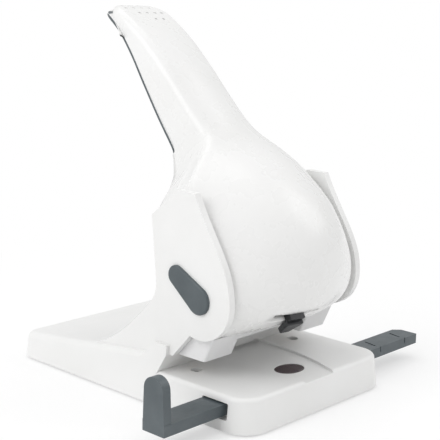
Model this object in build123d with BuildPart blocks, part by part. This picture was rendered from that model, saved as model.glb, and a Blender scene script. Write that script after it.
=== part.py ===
from build123d import *
from math import atan2, cos, degrees, hypot, pi, radians, sin, tan
import os

os.makedirs("parts", exist_ok=True)

# Heavy-duty two-hole desk punch.  Millimetres, +Z up, front towards -Y.
# Origin: desk level, under the midpoint between the two die holes.

# ---------------------------------------------------------------- driving sizes
hole_pitch = 80.0          # between the two punched holes
hole_dia = 6.0             # punched hole
pin_dia = 6.0
table_z = 19.2             # paper table above the desk
throat_gap = 10.0          # paper gap between table and jaw
running_fit = 0.05         # radial, pins and axle
slide_gap = 0.3            # sliding plastic parts, each side

# base
base_half = 59.5
base_front = -54.0
base_rear = 131.0
base_corner_front = 15.0
base_corner_rear = 10.0
base_draft = 6.0           # degrees
base_bottom = 1.0          # the feet lift the housing this much
tail_rear_z = 15.0
tail_front_z = 28.5
tail_front_y = 17.0
shoulder = 4.0             # rounding of the long upper edges
table_edge = 2.5           # rounding of the table's edge
throat_foot_y = 12.0       # rear end of the paper throat at the table
throat_head_y = 6.5        # and at the jaw

# cheeks and pivot
cheek_outer = 54.0
cheek_wall = 4.0
cheek_round = 21.0         # round lower end, about the pivot
pivot_y = -15.0
pivot_z = 63.0
axle_dia = 8.0
clip_thick = 0.7
clip_groove = 0.5          # depth in the axle
clip_rim = 2.2             # how far a clip stands proud of the axle
handle_range = 50.0        # degrees from raised to pressed

# jaw
tower_inner = 28.3
tower_front_foot = -15.0
tower_front_lean = 25.0    # degrees
jaw_top_z = 42.4
arch_z = 38.5
web_top_z = 50.0
web_wall = 3.5

# handle
arm_half = 20.0
hood_gap = 0.4             # between hood and cheek
hood_round = 18.5          # lower end of the hood sides, about the pivot
hood_wall = 3.0
arm_angle = 46.0
tip_s = 186.0              # pivot to tip, along the arm
flare_start_s = 78.0
flare_end_s = 50.0
cover_thick = 2.2

# press bar, pins and springs
press_dia = 8.0
press_gap = 0.18
cap_dia = 11.0
cap_thick = 3.0
bush_dia = 10.0
spring_seat_z = 36.5
spring_wire = 1.2
spring_mean = 9.4
spring_turns = 7
pocket_dia = 12.4
die_thick = 2.5
die_depth = 2.0            # table skin over the die plate
die_half = 45.0
die_width = 16.0

# paper guide
guide_front = -37.5
guide_rear = -22.4
guide_bottom = 8.8
guide_top = 14.7
guide_left = -99.5
guide_right = 113.5
stop_thick = 5.0
stop_top = 37.4
mouth_front = -40.0
mouth_rear = -22.0
mouth_bottom = 6.8
mouth_top = 15.6
window_y = -31.0
window_rx = 9.4
window_ry = 7.3
lens_thick = 1.2

# chip drawer
drawer_half = 45.0
drawer_front = -12.0
drawer_floor_z = 3.3
drawer_top_z = 10.5
drawer_wall = 1.8
plate_thick = 2.0
foot_dia = 12.0

# ---------------------------------------------------------------- derived sizes
jaw_z = table_z + throat_gap
cheek_inner = cheek_outer - cheek_wall
hood_half = cheek_inner - hood_gap
hood_inner = hood_half - hood_wall
half_range = radians(handle_range / 2)
press_radius = -pivot_y / cos(half_range)
press_z = pivot_z - pivot_y * tan(half_range)
pin_travel = 2 * -pivot_y * tan(half_range)
cap_top_z = press_z - press_dia / 2 - press_gap
cap_low_z = cap_top_z - cap_thick
pin_x = hole_pitch / 2
pin_tip_z = jaw_z + 0.1
arm_dir = radians(arm_angle)


def on_arm(s, h):
    """Side-view point s along the arm from the pivot and h above its line."""
    return (
        pivot_y + s * cos(arm_dir) - h * sin(arm_dir),
        pivot_z + s * sin(arm_dir) + h * cos(arm_dir),
    )


def side_plane(x):
    """Sketch plane square to X: its x runs rearwards and its y runs up."""
    return Plane(origin=(x, 0, 0), x_dir=(0, 1, 0), z_dir=(1, 0, 0))


def foot_print(inset):
    """Plan outline of the base, drawn in from its edge."""
    with BuildSketch() as outline:
        with Locations((0, (base_front + base_rear) / 2)):
            Rectangle(2 * (base_half - inset), base_rear - base_front - 2 * inset)
        fillet(outline.vertices().group_by(Axis.Y)[0], base_corner_front - inset)
        fillet(outline.vertices().group_by(Axis.Y)[-1], base_corner_rear - inset)
    return outline.sketch


def teardrop(c1, r1, c2, r2):
    """Two discs joined by their outer tangents."""
    dx, dy = c2[0] - c1[0], c2[1] - c1[1]
    along = atan2(dy, dx)
    open_angle = pi / 2 - atan2(r1 - r2, (hypot(dx, dy) ** 2 - (r1 - r2) ** 2) ** 0.5)
    corners = [
        (c[0] + r * cos(along + turn * open_angle), c[1] + r * sin(along + turn * open_angle))
        for c, r, turn in ((c1, r1, 1), (c1, r1, -1), (c2, r2, -1), (c2, r2, 1))
    ]
    with BuildSketch() as outline:
        with BuildLine():
            Polyline(*corners, close=True)
        make_face()
        with Locations(c1):
            Circle(r1)
        with Locations(c2):
            Circle(r2)
    return outline.sketch


# ---------------------------------------------------------------- base housing
spine_z = jaw_top_z - 8.0          # ledge that the jaw's rear flange sits on
spine_rear = 16.0
web_front = tail_front_y - web_wall
channel_bottom = guide_bottom - slide_gap
channel_top = guide_top + slide_gap
channel_front = guide_front - slide_gap
channel_rear = guide_rear + slide_gap
scoop_depth = 1.2
scoop_half_rear = 23.0
scoop_half_mid = 21.5
scoop_half_front = 9.0
lens_top_z = table_z - scoop_depth - 0.3
lens_ledge = 1.0
rim_width = 2.5
plate_bottom = base_bottom
plate_top = plate_bottom + plate_thick
cavity_half = drawer_half + slide_gap
cavity_top = drawer_top_z + slide_gap
cavity_front = drawer_front - 2.0
die_top_z = table_z - die_depth
screw_x = 52.0
screw_ys = (-40.0, 12.0, 62.0, 112.0)
screw_dia = 3.0
screw_depth = 7.0
spring_pocket_half = 19.0
leaf_y = -30.0
leaf_width = 6.0
leaf_depth = 1.6
mouth_depth = 5.0

with BuildPart() as base_housing:
    # drafted block on the foot print
    with BuildSketch(Plane.XY.offset(base_bottom)):
        add(foot_print(0))
    extrude(amount=tail_front_z + 12, taper=base_draft)
    # side outline of table, throat wall, spine and tail
    with BuildSketch(side_plane(0)):
        with BuildLine():
            Polyline(
                (base_front - 5, 0),
                (base_front - 5, table_z),
                (throat_foot_y, table_z),
                (throat_head_y, jaw_z),
                (throat_head_y, spine_z),
                (spine_rear, spine_z),
                (tail_front_y + 6, tail_front_z - 1),
                (base_rear + 5, tail_rear_z - 0.6),
                (base_rear + 5, 0),
                close=True,
            )
        make_face()
    extrude(amount=base_half + 5, both=True, mode=Mode.INTERSECT)
    tail_rims = [
        e
        for e in edges()
        if e.center().Z > tail_rear_z - 1.5
        and e.center().Y > spine_rear + 2
        and (abs(e.center().X) > base_half - 9 or e.center().Y > base_rear - 9)
        and e.length > 3
        and abs(e.tangent_at(0.5).Z) < 0.5
    ]
    fillet(tail_rims, shoulder)
    table_rims = [
        e
        for e in edges()
        if abs(e.center().Z - table_z) < 0.05 and e.center().Y < throat_foot_y - 1 and e.length > 3
    ]
    fillet(table_rims, table_edge)
    # cheeks, rising from the tail, with a round end about the pivot
    for side in (-1, 1):
        with BuildSketch(side_plane(side * (cheek_inner + cheek_wall / 2))):
            with BuildLine():
                round_out = radians(-72)
                round_end = (
                    pivot_y + cheek_round * cos(round_out),
                    pivot_z + cheek_round * sin(round_out),
                )
                Spline(
                    (-11, 117.5),
                    (-27.5, 89.5),
                    (pivot_y - cheek_round, pivot_z),
                    tangents=((-0.42, -0.9), (0, -1)),
                )
                ThreePointArc(
                    (pivot_y - cheek_round, pivot_z),
                    (
                        pivot_y + cheek_round * cos(radians(-126)),
                        pivot_z + cheek_round * sin(radians(-126)),
                    ),
                    round_end,
                )
                Polyline(
                    round_end,
                    (throat_head_y - 2.5, jaw_z),
                    (throat_head_y, jaw_z),
                    (throat_foot_y + 8, tail_rear_z),
                    (60, tail_rear_z),
                    (66, tail_rear_z + 7.5),
                )
                Spline(
                    (66, tail_rear_z + 7.5),
                    (45, 33.5),
                    (27, 49),
                    (19.5, 57.5),
                    (tail_front_y, 68),
                    tangents=((-0.9, 0.3), (0, 1)),
                )
                Polyline((tail_front_y, 68), (20.5, 102.5), (1.5, 117.9), (-11, 117.5))
            make_face()
        extrude(amount=cheek_wall / 2, both=True)
    # rear web between the cheeks
    with BuildSketch(side_plane(0)):
        with Locations(((web_front + tail_front_y) / 2, (tail_front_z - 6 + web_top_z) / 2)):
            Rectangle(web_wall, web_top_z - tail_front_z + 6)
    extrude(amount=cheek_inner + 1, both=True)
    # shallow scoop in the table, running out at the front edge
    with BuildSketch(Plane.XY.offset(table_z - scoop_depth)):
        with BuildLine():
            right = Spline(
                (scoop_half_rear, throat_foot_y + 3),
                (scoop_half_mid, -20),
                (scoop_half_front, base_front - 4),
            )
            left = Spline(
                (-scoop_half_rear, throat_foot_y + 3),
                (-scoop_half_mid, -20),
                (-scoop_half_front, base_front - 4),
            )
            Line(right @ 0, left @ 0)
            Line(right @ 1, left @ 1)
        make_face()
    extrude(amount=scoop_depth + 1, mode=Mode.SUBTRACT)
    # window over the guide, with a ledge for its lens
    with BuildSketch(Plane.XY.offset(lens_top_z - lens_thick)):
        with Locations((0, window_y)):
            Ellipse(window_rx, window_ry)
    extrude(amount=10, mode=Mode.SUBTRACT)
    with BuildSketch(Plane.XY.offset(channel_top - 1)):
        with Locations((0, window_y)):
            Ellipse(window_rx - lens_ledge, window_ry - lens_ledge)
    extrude(amount=10, mode=Mode.SUBTRACT)
    # channel of the paper guide, with a wider mouth at each side
    with BuildSketch(side_plane(0)):
        with Locations(
            ((channel_front + channel_rear) / 2, (channel_bottom + channel_top) / 2)
        ):
            Rectangle(channel_rear - channel_front, channel_top - channel_bottom)
    extrude(amount=base_half + 5, both=True, mode=Mode.SUBTRACT)
    for side in (-1, 1):
        with BuildSketch(side_plane(side * (base_half + 2))):
            with Locations(((mouth_front + mouth_rear) / 2, (mouth_bottom + mouth_top) / 2)):
                RectangleRounded(mouth_rear - mouth_front, mouth_top - mouth_bottom, 1.0)
        extrude(amount=-side * (mouth_depth + 2), mode=Mode.SUBTRACT)
    # pocket of the leaf spring, in the channel's floor
    with BuildSketch(Plane.XY.offset(channel_bottom - leaf_depth)):
        with Locations((0, leaf_y)):
            Rectangle(2 * spring_pocket_half, leaf_width + 1)
    extrude(amount=leaf_depth + 0.5, mode=Mode.SUBTRACT)
    # recess of the base plate, drawer tunnel, die pocket and holes
    with BuildSketch(Plane.XY.offset(base_bottom)):
        add(foot_print(rim_width))
    extrude(amount=plate_thick, mode=Mode.SUBTRACT)
    with BuildSketch(Plane.XY.offset(plate_top - 0.5)):
        with Locations((0, (cavity_front + base_rear + 5) / 2)):
            Rectangle(2 * cavity_half, base_rear + 5 - cavity_front)
    extrude(amount=cavity_top - plate_top + 0.5, mode=Mode.SUBTRACT)
    with BuildSketch(Plane.XY.offset(cavity_top - 1)):
        Rectangle(2 * die_half + 0.2, die_width + 0.2)
    extrude(amount=die_top_z - cavity_top + 1, mode=Mode.SUBTRACT)
    with BuildSketch(Plane.XY.offset(die_top_z - 1)):
        with Locations((-pin_x, 0), (pin_x, 0)):
            Circle(hole_dia / 2 + 0.25)
    extrude(amount=die_depth + 2, mode=Mode.SUBTRACT)
    # screw holes of the base plate
    with BuildSketch(Plane.XY.offset(plate_top - 0.5)):
        with Locations([(s * screw_x, y) for s in (-1, 1) for y in screw_ys]):
            Circle(screw_dia / 2 + running_fit)
    extrude(amount=screw_depth, mode=Mode.SUBTRACT)
    # axle bore through both cheeks
    with BuildSketch(side_plane(0)):
        with Locations((pivot_y, pivot_z)):
            Circle(axle_dia / 2 + running_fit)
    extrude(amount=cheek_outer + 2, both=True, mode=Mode.SUBTRACT)
base_housing.part.label = "base_housing"
export_step(base_housing.part, "parts/base_housing.step")


# ---------------------------------------------------------------- base internals
foot_recess = 1.0
foot_spots = [(s * 38.0, y) for s in (-1, 1) for y in (-38.0, 105.0)]
screw_spots = [(s * screw_x, y, plate_bottom) for s in (-1, 1) for y in screw_ys]
low_end = (Align.CENTER, Align.CENTER, Align.MIN)

with BuildPart() as base_plate:
    with BuildSketch(Plane.XY.offset(plate_bottom)):
        add(foot_print(rim_width + slide_gap))
        with Locations((0, base_rear - rim_width)):
            Rectangle(2 * cavity_half + 6, 2 * rim_width, mode=Mode.SUBTRACT)
    extrude(amount=plate_thick)
    with Locations(screw_spots):
        Cone(screw_dia + 0.1, screw_dia / 2 + 0.1, plate_thick, align=low_end, mode=Mode.SUBTRACT)
    with BuildSketch(Plane.XY.offset(plate_bottom)):
        with Locations(foot_spots):
            Circle(foot_dia / 2 + 0.1)
    extrude(amount=foot_recess, mode=Mode.SUBTRACT)
base_plate.part.label = "base_plate"
export_step(base_plate.part, "parts/base_plate.step")

with BuildPart() as base_screws:
    with Locations(screw_spots):
        Cone(screw_dia, screw_dia / 2, plate_thick, align=low_end)
        Cylinder(screw_dia / 2, plate_thick + screw_depth - 1, align=low_end)
base_screws.part.label = "base_screws"
export_step(base_screws.part, "parts/base_screws.step")

with BuildPart() as rubber_feet:
    with BuildSketch():
        with Locations(foot_spots):
            Circle(foot_dia / 2)
    extrude(amount=base_bottom + foot_recess)
    chamfer(rubber_feet.edges().group_by(Axis.Z)[0], 0.3)
rubber_feet.part.label = "rubber_feet"
export_step(rubber_feet.part, "parts/rubber_feet.step")

with BuildPart() as die_plate:
    with BuildSketch(Plane.XY.offset(die_top_z - die_thick)):
        Rectangle(2 * die_half, die_width)
        with Locations((-pin_x, 0), (pin_x, 0)):
            Circle(pin_dia / 2 + running_fit, mode=Mode.SUBTRACT)
    extrude(amount=die_thick)
die_plate.part.label = "die_plate"
export_step(die_plate.part, "parts/die_plate.step")

drawer_rear = base_rear - 1.0
panel_thick = 3.0
pull_radius = 9.0
with BuildPart() as chip_drawer:
    with BuildSketch(Plane.XY.offset(drawer_floor_z)):
        with Locations((0, (drawer_front + drawer_rear) / 2)):
            Rectangle(2 * drawer_half, drawer_rear - drawer_front)
    extrude(amount=drawer_top_z - drawer_floor_z)
    with BuildSketch(Plane.XY.offset(drawer_floor_z + drawer_wall)):
        with Locations((0, (drawer_front + drawer_rear + drawer_wall - panel_thick) / 2)):
            Rectangle(
                2 * (drawer_half - drawer_wall),
                drawer_rear - drawer_front - drawer_wall - panel_thick,
            )
    extrude(amount=drawer_top_z, mode=Mode.SUBTRACT)
    # thumb notch under the outer panel
    with BuildSketch(Plane.XY.offset(drawer_floor_z)):
        with Locations((0, drawer_rear + pull_radius * 0.75)):
            Circle(pull_radius)
    extrude(amount=drawer_top_z - drawer_floor_z - drawer_wall, mode=Mode.SUBTRACT)
chip_drawer.part.label = "chip_drawer"
export_step(chip_drawer.part, "parts/chip_drawer.step")

lens_gap = 0.1
with BuildPart() as window_lens:
    with BuildSketch(Plane.XY.offset(lens_top_z - lens_thick)):
        with Locations((0, window_y)):
            Ellipse(window_rx - lens_gap, window_ry - lens_gap)
    extrude(amount=lens_thick)
window_lens.part.label = "window_lens"
export_step(window_lens.part, "parts/window_lens.step")

# bowed leaf spring that presses on the guide from below
leaf_thick = 0.4
leaf_half = spring_pocket_half - 1.5
leaf_low = channel_bottom - leaf_depth + 0.05
leaf_high = guide_bottom - 0.05
with BuildPart() as guide_spring:
    with BuildSketch(Plane.XZ.offset(-(leaf_y - leaf_width / 2))):
        with BuildLine():
            ThreePointArc(
                (-leaf_half, leaf_low + leaf_thick),
                (0, leaf_high),
                (leaf_half, leaf_low + leaf_thick),
            )
            Line((leaf_half, leaf_low + leaf_thick), (leaf_half, leaf_low))
            ThreePointArc(
                (leaf_half, leaf_low), (0, leaf_high - leaf_thick), (-leaf_half, leaf_low)
            )
            Line((-leaf_half, leaf_low), (-leaf_half, leaf_low + leaf_thick))
        make_face()
    extrude(amount=-leaf_width)
guide_spring.part.label = "guide_spring"
export_step(guide_spring.part, "parts/guide_spring.step")

# ---------------------------------------------------------------- paper guide
guide_mid = (guide_front + guide_rear) / 2
stop_round = 6.6
stop_slope = 0.9
far_bevel = 4.0
mark_xs = (76.0, 101.0)
mark_depth = 0.6
tick_depth = 0.4
with BuildPart() as paper_guide:
    with BuildSketch(side_plane(guide_left)):
        with Locations((guide_mid, (guide_bottom + guide_top) / 2)):
            Rectangle(guide_rear - guide_front, guide_top - guide_bottom)
    extrude(amount=guide_right - guide_left)
    far_edges = paper_guide.edges().filter_by(Axis.Z).group_by(Axis.X)[-1]
    chamfer(far_edges.sort_by(Axis.Y)[-1], far_bevel)
    # upright stop with a round top
    with BuildSketch(side_plane(guide_left)):
        with BuildLine():
            Polyline(
                (guide_front + stop_slope, stop_top - stop_round),
                (guide_front, guide_bottom),
                (guide_rear, guide_bottom),
                (guide_rear - stop_slope, stop_top - stop_round),
            )
            ThreePointArc(
                (guide_rear - stop_slope, stop_top - stop_round),
                (guide_mid, stop_top),
                (guide_front + stop_slope, stop_top - stop_round),
            )
        make_face()
    extrude(amount=stop_thick)
    # shallow marks for the paper sizes on the top face, near the far end
    with BuildSketch(Plane.XY.offset(guide_top - mark_depth)):
        with Locations([(x, guide_mid) for x in mark_xs]):
            SlotOverall(9.0, 1.2, rotation=78)
    extrude(amount=mark_depth + 1, mode=Mode.SUBTRACT)
    # and ticks on the front face
    with BuildSketch(Plane.XZ.offset(-guide_front)):
        with Locations([(x, guide_top - 1.6) for x in mark_xs]):
            Rectangle(0.8, 3.2)
    extrude(amount=-tick_depth, mode=Mode.SUBTRACT)
paper_guide.part.label = "paper_guide"
export_step(paper_guide.part, "parts/paper_guide.step")

# ---------------------------------------------------------------- jaw frame
tower_outer = hood_half
flange_rear = web_front - slide_gap
front_lean = tan(radians(tower_front_lean))
jaw_screw_xs = (-20.0, 20.0)
jaw_screw_y = 10.2
jaw_screw_dia = 4.0
bush_length = spring_seat_z - jaw_z
pin_spots = [(-pin_x, 0), (pin_x, 0)]
jaw_screw_spots = [(x, jaw_screw_y) for x in jaw_screw_xs]
with BuildPart() as jaw_frame:
    with BuildSketch(side_plane(0)):
        with BuildLine():
            Polyline(
                (tower_front_foot, jaw_z),
                (tower_front_foot - (jaw_top_z - jaw_z) * front_lean, jaw_top_z),
                (flange_rear, jaw_top_z),
                (flange_rear, spine_z),
                (throat_head_y, spine_z),
                (throat_head_y, jaw_z),
                close=True,
            )
        make_face()
    extrude(amount=tower_outer, both=True)
    # arch between the two towers
    with BuildSketch(Plane.XZ):
        with Locations((0, (jaw_z - 1 + arch_z) / 2)):
            Rectangle(2 * tower_inner, arch_z - jaw_z + 1)
    extrude(amount=60, both=True, mode=Mode.SUBTRACT)
    tower_edges = [
        e
        for e in jaw_frame.edges()
        if e.center().Y < tower_front_foot + 0.5
        and abs(e.center().X) > tower_inner - 0.1
        and e.length > 5
        and abs(e.tangent_at(0.5).X) < 0.5
    ]
    fillet(tower_edges, 1.2)
    with BuildSketch(Plane.XY.offset(jaw_z - 1)):
        with Locations(pin_spots):
            Circle(bush_dia / 2)
    extrude(amount=jaw_top_z, mode=Mode.SUBTRACT)
    with BuildSketch(Plane.XY.offset(spring_seat_z)):
        with Locations(pin_spots):
            Circle(pocket_dia / 2)
    extrude(amount=jaw_top_z, mode=Mode.SUBTRACT)
    with BuildSketch(Plane.XY.offset(spine_z - 1)):
        with Locations(jaw_screw_spots):
            Circle(jaw_screw_dia / 2 + running_fit)
    extrude(amount=jaw_top_z, mode=Mode.SUBTRACT)
jaw_frame.part.label = "jaw_frame"
export_step(jaw_frame.part, "parts/jaw_frame.step")

with BuildPart() as guide_bushes:
    with BuildSketch(Plane.XY.offset(jaw_z)):
        with Locations(pin_spots):
            Circle(bush_dia / 2 - running_fit)
            Circle(pin_dia / 2 + running_fit, mode=Mode.SUBTRACT)
    extrude(amount=bush_length)
guide_bushes.part.label = "guide_bushes"
export_step(guide_bushes.part, "parts/guide_bushes.step")

head_height = 3.0
head_dia = 6.6
hex_key = 2.0
with BuildPart() as jaw_screws:
    with BuildSketch(Plane.XY.offset(spine_z)):
        with Locations(jaw_screw_spots):
            Circle(jaw_screw_dia / 2)
    extrude(amount=jaw_top_z - spine_z)
    with BuildSketch(Plane.XY.offset(jaw_top_z)):
        with Locations(jaw_screw_spots):
            Circle(head_dia / 2)
    extrude(amount=head_height)
    with BuildSketch(Plane.XY.offset(jaw_top_z + head_height / 2)):
        with Locations(jaw_screw_spots):
            RegularPolygon(hex_key, 6)
    extrude(amount=head_height, mode=Mode.SUBTRACT)
jaw_screws.part.label = "jaw_screws"
export_step(jaw_screws.part, "parts/jaw_screws.step")

# ---------------------------------------------------------------- pivot
hood_inner = hood_half - hood_wall
clip_x = hood_inner - 0.6 - clip_thick
with BuildPart() as pivot_axle:
    with BuildSketch(side_plane(0)):
        with Locations((pivot_y, pivot_z)):
            Circle(axle_dia / 2)
    extrude(amount=cheek_outer - 1, both=True)
    for side in (-1, 1):
        with BuildSketch(side_plane(side * clip_x)):
            with Locations((pivot_y, pivot_z)):
                Circle(axle_dia / 2 + 1)
                Circle(axle_dia / 2 - clip_groove, mode=Mode.SUBTRACT)
        extrude(amount=side * clip_thick, mode=Mode.SUBTRACT)
pivot_axle.part.label = "pivot_axle"
export_step(pivot_axle.part, "parts/pivot_axle.step")

with BuildPart() as axle_clips:
    for side in (-1, 1):
        with BuildSketch(side_plane(side * (clip_x + 0.05))):
            with Locations((pivot_y, pivot_z)):
                Circle(axle_dia / 2 + clip_rim)
                Circle(axle_dia / 2 - clip_groove + 0.02, mode=Mode.SUBTRACT)
            with Locations((pivot_y + axle_dia / 2, pivot_z - axle_dia / 2)):
                Rectangle(axle_dia, axle_dia * 0.45, rotation=-45, mode=Mode.SUBTRACT)
        extrude(amount=side * (clip_thick - 0.1))
axle_clips.part.label = "axle_clips"
export_step(axle_clips.part, "parts/axle_clips.step")

cap_big_round = 7.4
cap_small_round = 5.4
cap_reach_y = 16.0
cap_reach_z = 10.5
cap_height = 1.8
cap_plug = 0.9
cap_edge = 0.9
for side, name in ((-1, "pivot_cap_left"), (1, "pivot_cap_right")):
    with BuildPart() as pivot_cap:
        with BuildSketch(side_plane(side * cheek_outer)):
            add(
                teardrop(
                    (pivot_y, pivot_z),
                    cap_big_round,
                    (pivot_y + cap_reach_y, pivot_z + cap_reach_z),
                    cap_small_round,
                )
            )
        extrude(amount=side * cap_height)
        outer_face = pivot_cap.faces().filter_by(Axis.X).sort_by(Axis.X)[-1 if side > 0 else 0]
        fillet(outer_face.edges(), cap_edge)
        with BuildSketch(side_plane(side * cheek_outer)):
            with Locations((pivot_y, pivot_z)):
                Circle(axle_dia / 2)
        extrude(amount=-side * cap_plug)
    pivot_cap.part.label = name
    export_step(pivot_cap.part, f"parts/{name}.step")


# ---------------------------------------------------------------- handle
arm_plane = Plane(
    origin=(0, pivot_y, pivot_z),
    x_dir=(1, 0, 0),
    z_dir=(0, -sin(arm_dir), cos(arm_dir)),
)
arm_top = [(70.7, 37.7), (95, 35.4), (130, 35.2), (155, 32.6), (174, 26.5), (188.5, 11.5)]
arm_under = [(187.5, 7.0), (170, 13.0), (140, 14.8), (112, 12.6), (90, 7.2), (72.0, -1.0)]
root_rear = (62.0, 0.5)
# front outline of the nose at the middle and at the hood's corners
nose_middle = [
    (-28.5, 43.2),
    (-38.0, 47.5),
    (-47.5, 54.0),
    (-53.0, 64.0),
    (-54.5, 76.0),
    (-53.0, 88.5),
    (-47.0, 101.0),
    (-36.0, 113.5),
    (-18.0, 126.5),
]
nose_corner = [
    (-21.0, 43.5),
    (-27.0, 49.0),
    (-31.5, 57.0),
    (-33.0, 66.0),
    (-31.0, 76.0),
    (-25.0, 86.5),
    (-18.0, 96.5),
    (-10.0, 107.0),
    (0.0, 120.0),
]
top_dir = (0.72, 0.69)


def nose_line(x, inset):
    """Front outline at x: a crown in plan, drawn in square to itself by inset."""
    share = (x / hood_half) ** 2
    line = [
        (m[0] + share * (c[0] - m[0]), m[1] + share * (c[1] - m[1]))
        for m, c in zip(nose_middle, nose_corner)
    ]
    moved = []
    for i, (y, z) in enumerate(line):
        before = line[max(i - 1, 0)]
        after = line[min(i + 1, len(line) - 1)]
        run = hypot(after[0] - before[0], after[1] - before[1])
        dy = inset * (after[1] - before[1]) / run
        dz = inset * (after[0] - before[0]) / run
        moved.append((y + dy, z - dz))
    return moved


def hood_profile(x):
    """Side outline of hood and arm at x."""
    front = nose_line(x, 0.0)
    top = [on_arm(s, h) for s, h in arm_top]
    under = [on_arm(s, h) for s, h in arm_under]
    root = on_arm(*root_rear)
    reach = hypot(root[0] - pivot_y, root[1] - pivot_z)
    heading = atan2(root[1] - pivot_z, root[0] - pivot_y)
    tangent = heading - (pi / 2 - atan2(hood_round, (reach**2 - hood_round**2) ** 0.5))
    rear = (pivot_y + hood_round * cos(tangent), pivot_z + hood_round * sin(tangent))
    low = (pivot_y + hood_round * cos(-pi / 2), pivot_z - hood_round)
    middle = (tangent - pi / 2) / 2
    turn = (pivot_y + hood_round * cos(middle), pivot_z + hood_round * sin(middle))
    with BuildSketch(side_plane(x)) as outline:
        with BuildLine():
            Spline(*front, top[0], tangents=((-0.9, 0.42), top_dir))
            Spline(*top, tangents=(top_dir, (0.1, -1.0)))
            Line(top[-1], under[0])
            Spline(*under, tangents=((-0.9, -0.43), (-0.72, -0.55)))
            Line(under[-1], root)
            Line(root, rear)
            ThreePointArc(rear, turn, low)
            Line(low, front[0])
        make_face()
    return outline.sketch


def arm_outline(inset):
    """Hood and arm seen square to the arm: wide hood, flare, slim arm, round tip."""
    wide = hood_half - inset
    slim = arm_half - inset
    with BuildSketch(arm_plane) as outline:
        with BuildLine():
            for s in (1, -1):
                Line((s * wide, -70), (s * wide, flare_end_s))
                Spline(
                    (s * wide, flare_end_s),
                    (s * slim, flare_start_s),
                    tangents=((-s * 0.25, 1), (0, 1)),
                )
                Line((s * slim, flare_start_s), (s * slim, tip_s - arm_half))
            ThreePointArc(
                (slim, tip_s - arm_half), (0, tip_s + 3.5 - inset), (-slim, tip_s - arm_half)
            )
            Line((-wide, -70), (wide, -70))
        make_face()
    return outline.sketch


with BuildPart() as hood_block:
    for x in (-hood_half, 0.0, hood_half):
        add(hood_profile(x))
    loft()
    add(arm_outline(0.0))
    extrude(amount=90, both=True, mode=Mode.INTERSECT)

# hollow of hood and arm: open below, behind the pivot and under the grip cover
hollow_top = [(70.7, 34.7), (95, 32.4), (130, 31.6), (162, 26.0)]
hollow_under = [(162, 4.0), (90, -4.0), (90, 10.2), (76, 4.2), (66, 3.8), (56, -12.0)]
hollow_low_z = 28.0


def hollow_profile(x):
    """Side outline of the hollow at x, drawn in from the hood's outline."""
    front = nose_line(x, hood_wall)
    top = [on_arm(s, h) for s, h in hollow_top]
    under = [on_arm(s, h) for s, h in hollow_under]
    with BuildSketch(side_plane(x)) as outline:
        with BuildLine():
            Spline(*front, top[0], tangents=((-0.9, 0.42), top_dir))
            Spline(*top, tangents=(top_dir, (0.8, 0.5)))
            Polyline(
                top[-1],
                *under,
                (pivot_y + 50, pivot_z),
                (pivot_y + 50, hollow_low_z),
                (front[0][0], hollow_low_z),
                front[0],
            )
        make_face()
    return outline.sketch


with BuildPart() as hood_hollow:
    for x in (-hood_inner, 0.0, hood_inner):
        add(hollow_profile(x))
    loft()
    add(arm_outline(hood_wall))
    extrude(amount=90, both=True, mode=Mode.INTERSECT)

# thin layer along the underside that the grip cover fills
cover_start_s = 86.0
with BuildPart() as cover_layer:
    with BuildSketch(side_plane(0)):
        with BuildLine():
            inner_line = [on_arm(s, h + cover_thick) for s, h in arm_under[:4]]
            inner_end = on_arm(cover_start_s, 6.0 + cover_thick)
            Spline(on_arm(198, 7.5 + cover_thick), *inner_line, inner_end)
            Polyline(
                inner_end,
                on_arm(cover_start_s, -12),
                on_arm(198, -12),
                on_arm(198, 7.5 + cover_thick),
            )
        make_face()
    extrude(amount=arm_half + 8, both=True)

bush_outer = 12.0
bush_flange = 0.5
press_y = 0.0
slider_x = -14.5
slider_travel = 7.0
slider_neck_half = 4.5
slot_low = -5.0
slot_high = 1.6
slot_line_end = 17.0
slot_line_height = 1.0
slot_slant = 1.4
slot_start = -slider_travel - slider_neck_half - 0.4 - slot_slant
slot_end = slider_neck_half + 0.4
# plane that touches the nose's underside where the slider sits
slot_low_point = nose_line(slider_x, 0.0)[1]
slot_point = nose_line(slider_x, 0.0)[2]
slot_run = hypot(slot_point[0] - slot_low_point[0], slot_point[1] - slot_low_point[1])
slot_rise = (slot_point[1] - slot_low_point[1]) / slot_run
slot_reach = (slot_point[0] - slot_low_point[0]) / slot_run
slot_turn = 0.21           # radians, the nose's slant in plan there
slot_plane = Plane(
    origin=(slider_x, *slot_point),
    x_dir=(cos(slot_turn), -sin(slot_turn), 0),
    z_dir=(-slot_rise * sin(slot_turn), -slot_rise * cos(slot_turn), slot_reach * cos(slot_turn)),
)
dish_start_s = 82.0
dish_end_s = 122.0
dish_half = 13.5
dish_height = 34.2

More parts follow.
